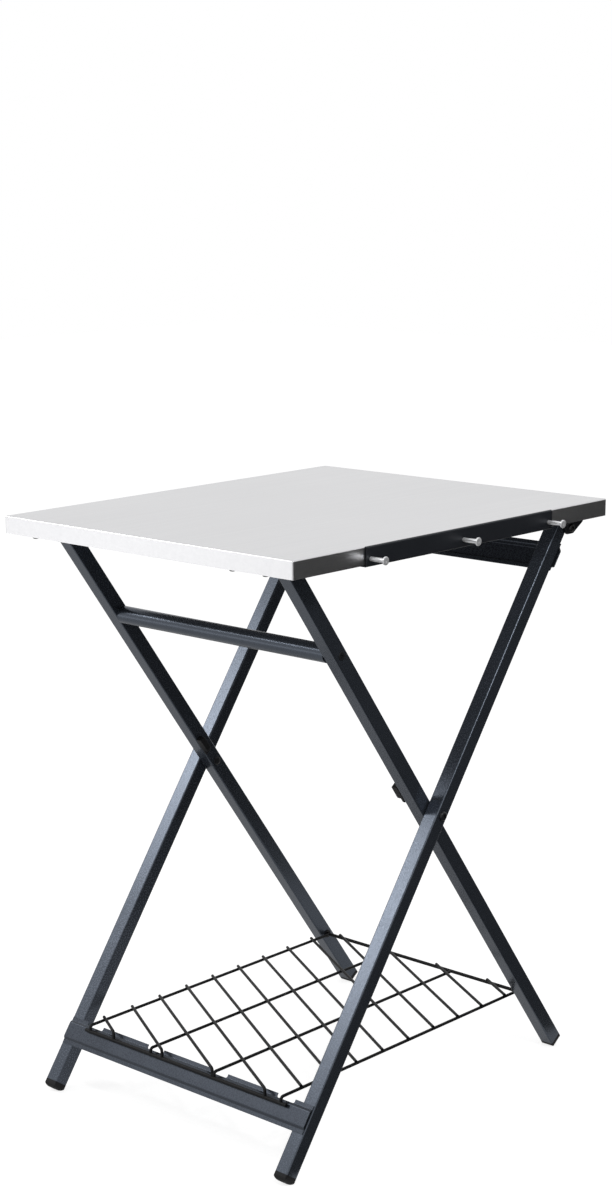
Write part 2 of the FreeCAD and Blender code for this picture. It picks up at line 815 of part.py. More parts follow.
def main():
    os.makedirs("parts", exist_ok=True)
    save("table_top", table_top())
    save("tool_rail", tool_rail())
    front_peg, middle_peg, rear_peg = peg_places()
    save("tool_peg_front", tool_peg(front_peg))
    save("tool_peg_middle", tool_peg(middle_peg))
    save("tool_peg_rear", tool_peg(rear_peg))
    save("peg_nuts", [peg_nut(y) for y in peg_places()])
    save_pair("hinge_bracket_left", "hinge_bracket_right", hinge_bracket())
    save_pair("hinge_pin_left", "hinge_pin_right", hinge_pin())
    screws = []
    for x in bracket_screw_places():
        screws += both_sides(bracket_screw(x))
    save("hinge_bracket_screws", screws)
    save_pair("catch_bracket_left", "catch_bracket_right", catch_bracket())
    save("catch_bolts", both_sides(catch_bolt()))
    save_pair("inner_leg_left", "inner_leg_right", inner_leg())
    save_pair("foot_cap_rear_left", "foot_cap_rear_right", inner_foot_cap())
    save("inner_top_plugs", both_sides(inner_top_plug()))
    save("round_crossbar", round_crossbar())
    save("crossbar_screws", both_sides(crossbar_screw()))
    save("stop_pads", both_sides(stop_pad()))
    save("shelf_bushings", both_sides(shelf_bushing()))
    save_pair("pivot_bolt_left", "pivot_bolt_right", pivot_bolt())
    save("pivot_washers", both_sides(pivot_washer_ring()))
    save("pivot_nuts", both_sides(pivot_nut()))
    save_pair("outer_leg_left", "outer_leg_right", outer_leg())
    save_pair("foot_cap_front_left", "foot_cap_front_right", outer_foot_cap())
    save("outer_top_plugs", both_sides(outer_top_plug()))
    save("front_channel", front_channel())
    save("rear_bar", rear_bar())
    save("fold_pull_tab", fold_pull_tab())
    save("wire_shelf", wire_shelf())
    print("leg angle", round(leg_angle, 3), "hinge", round(hinge_y, 2), round(hinge_z, 2))
    print("leg below", round(leg_below, 2), "above", round(inner_above, 2), round(outer_above, 2))
    print("shelf", round(shelf_rear, 2), round(shelf_front, 2), "channel top", round(channel_top, 2))


main()
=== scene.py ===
import bpy
import bmesh
import json
import math
from mathutils import Matrix, Vector


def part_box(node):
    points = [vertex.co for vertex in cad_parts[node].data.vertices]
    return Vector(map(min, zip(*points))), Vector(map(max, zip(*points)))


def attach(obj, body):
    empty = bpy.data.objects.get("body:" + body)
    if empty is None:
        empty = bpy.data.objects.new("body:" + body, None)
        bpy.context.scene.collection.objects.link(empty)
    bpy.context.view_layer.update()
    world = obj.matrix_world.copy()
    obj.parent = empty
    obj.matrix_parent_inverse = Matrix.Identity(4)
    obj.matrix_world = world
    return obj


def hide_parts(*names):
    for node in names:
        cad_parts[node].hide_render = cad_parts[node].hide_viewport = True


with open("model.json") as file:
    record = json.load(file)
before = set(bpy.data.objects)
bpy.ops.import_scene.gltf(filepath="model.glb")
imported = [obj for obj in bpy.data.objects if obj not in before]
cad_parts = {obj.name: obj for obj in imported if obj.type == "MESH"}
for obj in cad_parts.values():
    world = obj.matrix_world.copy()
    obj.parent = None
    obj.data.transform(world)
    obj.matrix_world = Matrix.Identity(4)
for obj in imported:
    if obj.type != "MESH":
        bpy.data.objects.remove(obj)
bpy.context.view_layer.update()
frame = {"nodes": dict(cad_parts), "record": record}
nodes = frame["nodes"]
print("frame loaded with", len(nodes), "nodes")


class Socket:
    # wraps an output socket, so shader maths reads like Python
    def __init__(self, tree, value):
        self.tree = tree
        self.value = value

    def maths(self, operation, other=None):
        node = self.tree.nodes.new("ShaderNodeMath")
        node.operation = operation
        for slot, item in enumerate((self, other)):
            if item is None:
                continue
            item = item.value if isinstance(item, Socket) else item
            if isinstance(item, (int, float)):
                node.inputs[slot].default_value = item
            else:
                self.tree.links.new(item, node.inputs[slot])
        return Socket(self.tree, node.outputs[0])

    def __add__(self, other):
        return self.maths("ADD", other)

    __radd__ = __add__

    def __mul__(self, other):
        return self.maths("MULTIPLY", other)

    def __sub__(self, other):
        return self.maths("SUBTRACT", other)

    def clamp(self):
        return self.maths("MAXIMUM", 0.0).maths("MINIMUM", 1.0)


class Finish:
    # one material, and one method that adds any node to it
    def __init__(self, name, **constants):
        self.material = bpy.data.materials.new(name)
        self.material.use_nodes = True
        self.tree = self.material.node_tree
        self.tree.nodes.clear()
        self.output = self.tree.nodes.new("ShaderNodeOutputMaterial")
        self.shader = self.tree.nodes.new("ShaderNodeBsdfPrincipled")
        self.tree.links.new(self.shader.outputs[0], self.output.inputs[0])
        for key, value in constants.items():
            self.shader.inputs[key.replace("_", " ")].default_value = value
        self.place = self.node("ShaderNodeTexCoord").outputs["Object"]

    def node(self, kind, settings=None, **inputs):
        node = self.tree.nodes.new(kind)
        for key, value in (settings or {}).items():
            setattr(node, key, value)
        for key, value in inputs.items():
            numbered = key[0] == "i" and key[1:].isdigit()
            self.feed(node.inputs[int(key[1:]) if numbered else key.replace("_", " ")], value)
        return node

    def feed(self, socket, value):
        value = value.value if isinstance(value, Socket) else value
        if isinstance(value, bpy.types.NodeSocket):
            self.tree.links.new(value, socket)
        else:
            socket.default_value = value

    def stretched(self, x, y, z):
        return self.node("ShaderNodeMapping", Vector=self.place, Scale=(x, y, z)).outputs[0]

    def noise(self, scale, detail=3.0, roughness=0.5, place=None):
        node = self.node("ShaderNodeTexNoise", Vector=place or self.place, Scale=scale, Detail=detail,
                         Roughness=roughness)
        return Socket(self.tree, node.outputs[0])

    def insideOf(self, x, y, z):
        # 1 nearer the middle than x and y and lower than z, else 0
        parts = self.node("ShaderNodeSeparateXYZ", Vector=self.place).outputs
        across, along, up = (Socket(self.tree, part) for part in parts)
        nearX = across.maths("ABSOLUTE").maths("LESS_THAN", x)
        nearY = along.maths("ABSOLUTE").maths("LESS_THAN", y)
        return nearX * nearY * up.maths("LESS_THAN", z)

    def blend(self, share, first, second):
        node = self.node("ShaderNodeMix", {"data_type": "RGBA"}, Factor=share, i6=first, i7=second)
        return node.outputs[2]

    def bump(self, height, strength, distance):
        node = self.node("ShaderNodeBump", Height=height, Strength=strength, Distance=distance)
        return node.outputs[0]

    def set(self, **links):
        for key, value in links.items():
            self.feed(self.shader.inputs[key.replace("_", " ")], value)
        return self.material


def shade(r, g, b):
    return (r, g, b, 1.0)


# the top is stainless sheet, brushed along its depth outside; underneath it is rougher and painted
# darker, as painted shade under the top
sheetValues = {
    "pale": shade(0.74, 0.74, 0.75), "deep": shade(0.58, 0.58, 0.595),
    "acrossGrain": 900.0, "alongGrain": 6.0, "longGrain": 0.22, "smudge": 3.0,
    "streakShare": 0.4, "longShare": 0.4, "smudgeShare": 0.6, "deeper": 0.2, "glossMiddle": 0.5,
    "gloss": 0.30, "glossSpread": 0.14, "grainStrength": 0.25, "grainDepth": 0.00014,
    "dull": shade(0.24, 0.24, 0.245), "dullGloss": 0.45, "dullFrom": (0.2988, 0.3638, 0.9392),
}


def brushedSheet():
    v = sheetValues
    f = Finish("brushedSheet", Metallic=1.0)
    along = f.stretched(v["acrossGrain"], v["alongGrain"], v["acrossGrain"])
    streaks = f.noise(1.0, detail=2.0, roughness=0.65, place=along)
    longStreaks = f.noise(v["longGrain"], detail=2.0, place=along)
    smudge = f.noise(v["smudge"])
    mixed = streaks * v["streakShare"] + longStreaks * v["longShare"] + smudge * v["smudgeShare"]
    mixed = mixed - v["deeper"]
    rough = v["gloss"] + (streaks * 0.5 + smudge * 0.5 - v["glossMiddle"]) * v["glossSpread"]
    # the inside and underside of the top: painted darker, as painted shade, and made rougher
    inside = f.insideOf(*v["dullFrom"])
    return f.set(
        Base_Color=f.blend(inside, f.blend(mixed.clamp(), v["deep"], v["pale"]), v["dull"]),
        Roughness=rough + inside * (v["dullGloss"] - v["gloss"]),
        Normal=f.bump(streaks, v["grainStrength"], v["grainDepth"]),
    )


# powder coats: a fine grain on a soft orange peel, with faint clouding; most have a slate metal flake
coatValues = {
    "frame": {
        "deep": shade(0.046, 0.054, 0.068), "pale": shade(0.102, 0.118, 0.146),
        "flake": 0.7, "sheen": 0.30, "gloss": 0.26, "peel": 0.32,
    },
    # the frame coat painted darker, as painted shade for the pressed channel and rear bar
    "pressed": {
        "deep": shade(0.030, 0.035, 0.045), "pale": shade(0.068, 0.079, 0.099),
        "flake": 0.65, "sheen": 0.28, "gloss": 0.28, "peel": 0.32,
    },
    "rail": {
        "deep": shade(0.013, 0.015, 0.019), "pale": shade(0.024, 0.027, 0.034),
        "flake": 0.3, "sheen": 0.30, "gloss": 0.42, "peel": 0.25,
    },
    "hardware": {
        "deep": shade(0.010, 0.011, 0.013), "pale": shade(0.020, 0.021, 0.024),
        "flake": 0.0, "sheen": 0.30, "gloss": 0.30, "peel": 0.10,
    },
    "wire": {
        "deep": shade(0.003, 0.003, 0.0035), "pale": shade(0.007, 0.007, 0.008),
        "flake": 0.0, "sheen": 0.15, "gloss": 0.42, "peel": 0.15,
    },
}
coatGrain = {
    "fine": 2400.0, "peel": 420.0, "cloud": 16.0, "depth": 0.0002,
    "fineShade": 0.4, "peelShade": 0.35, "cloudShade": 0.25,
    "middle": 0.5, "peelGloss": 0.22, "cloudGloss": 0.06, "peelHeight": 0.7, "fineHeight": 0.3,
}


def powderCoat(kind):
    v = coatValues[kind]
    g = coatGrain
    f = Finish(kind + "Coat", IOR=1.5, Metallic=v["flake"], Specular_IOR_Level=v["sheen"])
    fine = f.noise(g["fine"], detail=2.0, roughness=0.6)
    peel = f.noise(g["peel"], detail=2.0)
    cloud = f.noise(g["cloud"])
    mixed = fine * g["fineShade"] + peel * g["peelShade"] + cloud * g["cloudShade"]
    rough = v["gloss"] + (peel - g["middle"]) * g["peelGloss"]
    return f.set(
        Base_Color=f.blend(mixed.clamp(), v["deep"], v["pale"]),
        Roughness=rough + (cloud - g["middle"]) * g["cloudGloss"],
        Normal=f.bump(peel * g["peelHeight"] + fine * g["fineHeight"], v["peel"], g["depth"]),
    )


# moulded plastic: a fine grain, with flow lines along the height
plasticValues = {
    "deep": shade(0.006, 0.006, 0.007), "pale": shade(0.013, 0.013, 0.014), "sheen": 0.2,
    "gloss": 0.42, "glossSpread": 0.16, "grain": 1500.0, "grainShade": 0.6,
    "grainStrength": 0.25, "grainDepth": 0.00015, "flow": 40.0, "flowLong": 0.3, "flowShade": 0.4,
}


def mouldedPlastic():
    v = plasticValues
    f = Finish("mouldedPlastic", IOR=1.46, Specular_IOR_Level=v["sheen"])
    grain = f.noise(v["grain"], detail=2.0)
    flow = f.noise(v["flow"], detail=2.0, roughness=0.4, place=f.stretched(1.0, 1.0, v["flowLong"]))
    mixed = grain * v["grainShade"] + flow * v["flowShade"]
    return f.set(
        Base_Color=f.blend(mixed.clamp(), v["deep"], v["pale"]),
        Roughness=v["gloss"] + grain * v["glossSpread"],
        Normal=f.bump(grain, v["grainStrength"], v["grainDepth"]),
    )


# bright turned steel keeps faint rings across its axis, which lies along X
turnedValues = {
    "deep": shade(0.74, 0.75, 0.77), "pale": shade(0.92, 0.92, 0.93), "metal": 0.6,
    "rings": 1700.0, "aroundRings": 40.0, "ringStrength": 0.15, "ringDepth": 0.00006,
    "gloss": 0.24, "glossSpread": 0.12,
}


def turnedSteel():
    v = turnedValues
    f = Finish("turnedSteel", Metallic=v["metal"])
    across = f.stretched(v["rings"], v["aroundRings"], v["aroundRings"])
    rings = f.noise(1.0, detail=1.0, place=across)
    return f.set(
        Base_Color=f.blend(rings, v["deep"], v["pale"]),
        Roughness=v["gloss"] + rings * v["glossSpread"],
        Normal=f.bump(rings, v["ringStrength"], v["ringDepth"]),
    )


# zinc plate, passivated black
zincValues = {
    "deep": shade(0.045, 0.045, 0.047), "pale": shade(0.095, 0.094, 0.092), "spangle": 320.0,
    "spangleStrength": 0.1, "spangleDepth": 0.0001, "gloss": 0.30, "glossSpread": 0.15,
}


def zincPlate():
    v = zincValues
    f = Finish("zincPlate", Metallic=1.0)
    spangle = f.noise(v["spangle"])
    return f.set(
        Base_Color=f.blend(spangle, v["deep"], v["pale"]),
        Roughness=v["gloss"] + spangle * v["glossSpread"],
        Normal=f.bump(spangle, v["spangleStrength"], v["spangleDepth"]),
    )


finishes = {
    "brushed_stainless": brushedSheet(),
    "rail_slate": powderCoat("rail"),
    "peg_steel": turnedSteel(),
    "zinc": zincPlate(),
    "frame_black": powderCoat("frame"),
    "pressed_black": powderCoat("pressed"),
    "black_hardware": powderCoat("hardware"),
    "black_plastic": mouldedPlastic(),
    "wire_black": powderCoat("wire"),
}
print("finishes made:", len(finishes))

# the pressed bars take a darker copy of the frame coat, as painted shade on the channel and the rear
# bar
finishOf = {"front_channel": "pressed_black", "rear_bar": "pressed_black"}

bodyOf = {}
for bodyName, bodyNodes in frame["record"]["behaviour"]["bodies"].items():
    for nodeName in bodyNodes:
        bodyOf[nodeName] = bodyName
slotOf = {entry["node"]: entry["material_slot"] for entry in frame["record"]["subparts"]}


def newPiece(name, mesh):
    piece = bpy.data.objects.new(name, mesh)
    bpy.context.scene.collection.objects.link(piece)
    return piece


def settle(piece):
    # turns the modifiers into a plain mesh
    graph = bpy.context.evaluated_depsgraph_get()
    flat = bpy.data.meshes.new_from_object(piece.evaluated_get(graph))
    piece.modifiers.clear()
    old = piece.data
    piece.data = flat
    bpy.data.meshes.remove(old)
    flat.name = piece.name
    return piece


def crease(mesh, degrees):
    # smooth everywhere but over edges that turn more than this
    work = bmesh.new()
    work.from_mesh(mesh)
    for face in work.faces:
        face.smooth = True
    for edge in work.edges:
        edge.smooth = len(edge.link_faces) == 2 and edge.calc_face_angle(0.0) < math.radians(degrees)
    work.to_mesh(mesh)
    work.free()


def standIn(piece, *names):
    # the piece takes the place, the body and the finish of these nodes
    piece.data.materials.clear()
    piece.data.materials.append(finishes[finishOf.get(names[0], slotOf[names[0]])])
    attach(piece, bodyOf[names[0]])
    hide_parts(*names)


# how far each pressed, folded or sawn edge is broken, in millimetres
edgeValues = {
    "table_top": 0.6, "tool_rail": 0.3, "rear_bar": 0.35, "front_channel": 0.35, "fold_pull_tab": 0.4,
    "stop_pads": 0.6, "catch_bracket_left": 0.35, "catch_bracket_right": 0.35,
}
otherEdges = 0.25
# what counts as one point, in metres, and the angles in degrees
dressValues = {"merge": 1e-6, "flat": 0.4, "smooth": 34, "sharp": 40, "steps": 2, "faceWeight": 90}


def titleOf(node):
    first, *rest = node.split("_")
    return first + "".join(word.capitalize() for word in rest)


def dressNode(node):
    v = dressValues
    work = bmesh.new()
    work.from_mesh(nodes[node].data)
    bmesh.ops.remove_doubles(work, verts=work.verts, dist=v["merge"])
    flat = math.radians(v["flat"])
    bmesh.ops.dissolve_limit(work, angle_limit=flat, verts=work.verts, edges=work.edges)
    mesh = bpy.data.meshes.new(titleOf(node))
    work.to_mesh(mesh)
    work.free()
    crease(mesh, v["smooth"])
    piece = newPiece(titleOf(node), mesh)
    bevel = piece.modifiers.new("brokenEdges", "BEVEL")
    bevel.width = edgeValues.get(node, otherEdges) / 1000.0
    bevel.segments = v["steps"]
    bevel.limit_method = "ANGLE"
    bevel.angle_limit = math.radians(v["sharp"])
    weighted = piece.modifiers.new("flatFaces", "WEIGHTED_NORMAL")
    weighted.keep_sharp = True
    weighted.weight = v["faceWeight"]
    settle(piece)
    standIn(piece, node)


# edges of turned work that bend less than this, in degrees, are smooth
turnedSmooth = 30


# turned work: loops of (radius, height, sides), with no sides for a circle
def turnedMesh(name, loops, facets):
    work = bmesh.new()
    rings = []
    for radius, height, sides in loops:
        ring = []
        for index in range(facets):
            angle = 2 * math.pi * index / facets
            reach = radius
            if sides:
                step = 2 * math.pi / sides
                reach = radius * math.cos(step / 2) / math.cos(angle % step - step / 2)
            ring.append(work.verts.new((reach * math.cos(angle), reach * math.sin(angle), height)))
        rings.append(ring)
    for lower, upper in zip(rings, rings[1:]):
        for index in range(facets):
            after = (index + 1) % facets
            work.faces.new((lower[index], lower[after], upper[after], upper[index]))
    work.faces.new(rings[0][::-1])
    work.faces.new(rings[-1])
    bmesh.ops.recalc_face_normals(work, faces=work.faces)
    mesh = bpy.data.meshes.new(name)
    work.to_mesh(mesh)
    work.free()
    crease(mesh, turnedSmooth)
    return mesh


def treeWith(name, inputs):
    # a Geometry Nodes tree with named inputs, and a short way to add its nodes
    tree = bpy.data.node_groups.new(name, "GeometryNodeTree")
    tree.interface.new_socket("Geometry", in_out="INPUT", socket_type="NodeSocketGeometry")
    for label, kind, value in inputs:
        socket = tree.interface.new_socket(label, in_out="INPUT", socket_type=kind)
        if value is not None:
            socket.default_value = value
    tree.interface.new_socket("Geometry", in_out="OUTPUT", socket_type="NodeSocketGeometry")
    given = tree.nodes.new("NodeGroupInput")

    def add(kind, settings=None, **links):
        node = tree.nodes.new(kind)
        for key, value in (settings or {}).items():
            setattr(node, key, value)
        for key, value in links.items():
            numbered = key[0] == "i" and key[1:].isdigit()
            socket = node.inputs[int(key[1:]) if numbered else key.replace("_", " ")]
            if isinstance(value, bpy.types.NodeSocket):
                tree.links.new(value, socket)
            else:
                socket.default_value = value
        return node

    return tree, given.outputs, add


def runTree(piece, tree, values):
    modifier = piece.modifiers.new(tree.name, "NODES")
    modifier.node_group = tree
    for item in tree.interface.items_tree:
        if item.in_out == "INPUT" and item.name in values:
            modifier[item.identifier] = values[item.name]
    return settle(piece)


def copiesTree():
    # a copy of one object at every point, its axis along the point's facing, turned by a seeded angle
    tree, given, add = treeWith("placedCopies", [
        ("Copy", "NodeSocketObject", None),
        ("Turn", "NodeSocketFloat", 1.0),
        ("Seed", "NodeSocketInt", 3),
        ("Finish", "NodeSocketMaterial", None),
    ])
    source = add("GeometryNodeObjectInfo", Object=given["Copy"])
    facing = add("GeometryNodeInputNamedAttribute", {"data_type": "FLOAT_VECTOR"}, Name="facing")
    aimed = add("FunctionNodeAlignRotationToVector", {"axis": "Z"}, Vector=facing.outputs["Attribute"])
    most = add("ShaderNodeMath", {"operation": "MULTIPLY"}, i0=given["Turn"], i1=math.pi)
    angle = add("FunctionNodeRandomValue", {"data_type": "FLOAT"}, i2=0.0, i3=most.outputs[0],
                Seed=given["Seed"])
    spin = add("ShaderNodeCombineXYZ", Z=angle.outputs[1])
    turned = add("FunctionNodeEulerToRotation", Euler=spin.outputs[0])
    both = add("FunctionNodeRotateRotation", {"rotation_space": "LOCAL"}, i0=aimed.outputs[0],
               i1=turned.outputs[0])
    placed = add("GeometryNodeInstanceOnPoints", Points=given["Geometry"],
                 Instance=source.outputs["Geometry"], Rotation=both.outputs[0])
    real = add("GeometryNodeRealizeInstances", Geometry=placed.outputs[0])
    coated = add("GeometryNodeSetMaterial", Geometry=real.outputs[0], Material=given["Finish"])
    add("NodeGroupOutput", Geometry=coated.outputs[0])
    return tree


copies = copiesTree()


def fastener(node, loops, spots, turn=1.0, seed=3, facets=36):
    # one kind of fastener at its places, in millimetres; it stands in for its node
    scaled = [(radius / 1000, height / 1000, sides) for radius, height, sides in loops]
    pattern = newPiece("pattern", turnedMesh("pattern", scaled, facets))
    points = bpy.data.meshes.new(titleOf(node))
    points.from_pydata([Vector(place) / 1000 for place, facing in spots], [], [])
    facings = points.attributes.new("facing", "FLOAT_VECTOR", "POINT")
    for index, (place, facing) in enumerate(spots):
        facings.data[index].vector = facing
    piece = newPiece(titleOf(node), points)
    finish = finishes[slotOf[node]]
    runTree(piece, copies, {"Copy": pattern, "Turn": turn, "Seed": seed, "Finish": finish})
    old = pattern.data
    bpy.data.objects.remove(pattern)
    bpy.data.meshes.remove(old)
    standIn(piece, node)


def box(node):
    low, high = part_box(node)
    return Vector(low) * 1000, Vector(high) * 1000


# shares of a button head's radius and height, from its rim up to its flat top
domeProfile = ((1.0, 0.32), (0.97, 0.52), (0.88, 0.76), (0.74, 0.93), (0.60, 1.0))
# broken edges in millimetres, and the recess with its drilled floor as shares of its size
headValues = {
    "tip": 0.3, "rim": 0.25, "lead": 0.5, "leadDeep": 0.2,
    "socketDeep": 0.55, "drillWide": 0.45, "drillFrom": 0.9,
}


# a button head on its shank, with the hexagon recess that a key fits
def buttonHead(radius, height, socket, shank, length):
    v = headValues
    dome = [(share * radius, rise * height, 0) for share, rise in domeProfile]
    return [
        (shank - v["tip"], -length, 0), (shank, -length + v["tip"], 0), (shank, 0.0, 0),
        (radius - v["rim"], 0.0, 0), (radius, v["rim"], 0), *dome,
        (socket + v["lead"], height, 0), (socket, height - v["leadDeep"], 6),
        (socket, height * (1 - v["socketDeep"]), 6),
        (v["drillWide"] * socket, height * (v["drillFrom"] - v["socketDeep"]), 0),
    ]


# in millimetres: radius and height of the head, radius of the recess, radius and length of the shank
boltValues = {
    "pivot": {"head": 7.5, "height": 4.5, "socket": 2.9, "shank": 4.0, "length": 51.2},
    "hinge": {"head": 7.0, "height": 3.0, "socket": 2.3, "shank": 4.0, "length": 28.2},
    "plate": {"head": 5.5, "height": 3.2, "socket": 1.8, "shank": 2.5, "length": 5.5},
    "catch": {"head": 6.5, "height": 3.5, "socket": 2.5, "shank": 4.0, "length": 31.6},
}
plateScrewSpacing = 64.0
flatHeadHeight = 0.6
# the crossbar's screw, from its tip up to its flat head and the recess in it
flatHeadLoops = [
    (2.7, -36.0, 0), (3.0, -35.7, 0), (3.0, 0.0, 0), (6.3, 0.0, 0), (6.5, 0.15, 0), (6.5, 0.35, 0),
    (6.2, flatHeadHeight, 0), (2.9, flatHeadHeight, 0), (2.6, 0.55, 6), (2.6, -0.8, 6), (1.0, -1.1, 0),
]
# the catch bolt's dome nut, measured from where the shank leaves the sheet
domeNutLoops = [
    (4.0, 0.0, 0), (6.5, 0.0, 0), (6.5, 1.0, 0), (5.9, 1.1, 6),
    (5.9, 2.2, 6), (4.4, 3.1, 0), (2.0, 3.5, 0),
]


def boltLoops(kind):
    v = boltValues[kind]
    return buttonHead(v["head"], v["height"], v["socket"], v["shank"], v["length"])


def oneBolt(node, kind, facing, seed):
    # its head faces this way along X
    low, high = box(node)
    middle = (low + high) / 2
    head = high.x if facing > 0 else low.x
    spot = (head - facing * boltValues[kind]["height"], middle.y, middle.z)
    fastener(node, boltLoops(kind), [(spot, (facing, 0, 0))], seed=seed)


def mirroredPair(node, loops, headHeight, seed):
    # one on each side of the table, the heads facing out
    low, high = box(node)
    middle = (low + high) / 2
    seat = high.x - headHeight
    spots = [((side * seat, middle.y, middle.z), (side, 0, 0)) for side in (-1, 1)]
    fastener(node, loops, spots, seed=seed)


def bolts():
    for side, way in (("left", -1), ("right", 1)):
        oneBolt("pivot_bolt_" + side, "pivot", way, seed=5 + way)
        oneBolt("hinge_pin_" + side, "hinge", -way, seed=9 + way)


def bracketScrews():
    v = boltValues["plate"]
    low, high = box("hinge_bracket_screws")
    y = (low.y + high.y) / 2
    outer = high.x - v["head"]
    inner = outer - plateScrewSpacing
    under = low.z + v["height"]
    spots = [((x, y, under), (0, 0, -1)) for x in (-outer, -inner, inner, outer)]
    fastener("hinge_bracket_screws", boltLoops("plate"), spots, seed=2)


def catchBolts():
    # a bolt and the dome nut on its end, as one turned form
    v = boltValues["catch"]
    nut = [(radius, -v["length"] - height, sides) for radius, height, sides in reversed(domeNutLoops)]
    mirroredPair("catch_bolts", nut + boltLoops("catch")[2:], v["height"], seed=7)


# the three pegs: a stud through the rail, a shank, a neck and a disc at the end with a centre mark
pegValues = {
    "stud": 2.5, "studEdge": 0.4, "shank": 3.3, "shankEdge": 0.3, "neck": 2.7, "neckEdge": 0.4,
    "neckLong": 1.2, "disc": 6.2, "discThick": 3.0, "discEdge": 0.8, "midEdge": 0.3, "reach": 29.0,
    "mark": 1.4, "markFloor": 1.1, "markDeep": 0.15,
}
pegNodes = ["tool_peg_front", "tool_peg_middle", "tool_peg_rear"]


def pegs():
    v = pegValues
    stud, shank, neck, wide, end = v["stud"], v["shank"], v["neck"], v["disc"], v["reach"]
    edge = v["discEdge"]
    mid = v["midEdge"] * edge
    disc = end - v["discThick"]
    neckStart = disc - v["neckLong"]
    for node in pegNodes:
        low, high = box(node)
        middle = (low + high) / 2
        back = end - (high.x - low.x)
        loops = [
            (stud - v["studEdge"], back, 0), (stud, back + v["studEdge"], 0), (stud, 0.0, 0),
            (shank - v["shankEdge"], 0.0, 0), (shank, v["shankEdge"], 0), (shank, neckStart, 0),
            (neck, neckStart + v["neckEdge"], 0), (neck, disc, 0),
            (wide - edge, disc, 0), (wide - mid, disc + mid, 0), (wide, disc + edge, 0),
            (wide, end - edge, 0), (wide - mid, end - mid, 0), (wide - edge, end, 0),
            (v["mark"], end, 0), (v["markFloor"], end - v["markDeep"], 0),
        ]
        spot = (high.x - end, middle.y, middle.z)
        fastener(node, loops, [(spot, (1, 0, 0))], turn=0.0, facets=48)


# the shelf: four long wires that hook over the channel, slanted wires across them, a rod at each end
shelfValues = {
    "height": 112.0, "rearY": 272.787, "frontY": -305.034, "frontZ": 101.914, "halfWidth": 211.0,
    "wire": 2.5, "rod": 3.0, "bend": 5.0, "frontRodHalf": 222.0, "rearRodHalf": 220.0,
    "pitch": 62.4, "slant": 29.3, "firstCrossing": 31.0, "lastCrossing": 10.0, "sink": 0.8,
    "leftStub": 3.0, "rightStub": 2.0, "rearStub": 1.0, "smooth": 40,
    "weld": 2.1, "weldSink": 0.4, "weldLeast": (0.85, 0.85, 0.75), "weldMost": (1.3, 1.3, 1.0),
}


def shelfTree():
    # bends and thickens the lines that it gets, and sets a bead at each point marked as a weld
    tree, given, add = treeWith("weldedWires", [
        ("Bend Radius", "NodeSocketFloat", 0.005),
        ("Bend Steps", "NodeSocketInt", 7),
        ("Round", "NodeSocketInt", 14),
        ("Weld Size", "NodeSocketFloat", 0.002),
        ("Seed", "NodeSocketInt", 11),
        ("Finish", "NodeSocketMaterial", None),
    ])
    lines = add("GeometryNodeMeshToCurve", Mesh=given["Geometry"])
    bent = add("GeometryNodeFilletCurve", {"mode": "POLY"}, Curve=lines.outputs[0],
               Count=given["Bend Steps"], Radius=given["Bend Radius"], Limit_Radius=True)
    ring = add("GeometryNodeCurvePrimitiveCircle", Resolution=given["Round"], Radius=1.0)
    thick = add("GeometryNodeInputNamedAttribute", {"data_type": "FLOAT"}, Name="thick")
    wires = add("GeometryNodeCurveToMesh", Curve=bent.outputs[0], Profile_Curve=ring.outputs[0],
                Scale=thick.outputs["Attribute"], Fill_Caps=True)
    drop = add("GeometryNodeMeshIcoSphere", Radius=given["Weld Size"], Subdivisions=2)
    isWeld = add("GeometryNodeInputNamedAttribute", {"data_type": "BOOLEAN"}, Name="weld")
    size = add("FunctionNodeRandomValue", {"data_type": "FLOAT_VECTOR"},
               i0=shelfValues["weldLeast"], i1=shelfValues["weldMost"], Seed=given["Seed"])
    angle = add("FunctionNodeRandomValue", {"data_type": "FLOAT"}, i2=0.0, i3=math.tau,
                Seed=given["Seed"])
    spin = add("ShaderNodeCombineXYZ", Z=angle.outputs[1])
    turned = add("FunctionNodeEulerToRotation", Euler=spin.outputs[0])
    drops = add("GeometryNodeInstanceOnPoints", Points=given["Geometry"],
                Selection=isWeld.outputs["Attribute"], Instance=drop.outputs[0],
                Rotation=turned.outputs[0], Scale=size.outputs[0])
    both = add("GeometryNodeJoinGeometry")
    tree.links.new(wires.outputs[0], both.inputs[0])
    tree.links.new(drops.outputs[0], both.inputs[0])
    real = add("GeometryNodeRealizeInstances", Geometry=both.outputs[0])
    coated = add("GeometryNodeSetMaterial", Geometry=real.outputs[0], Material=given["Finish"])
    add("NodeGroupOutput", Geometry=coated.outputs[0])
    return tree


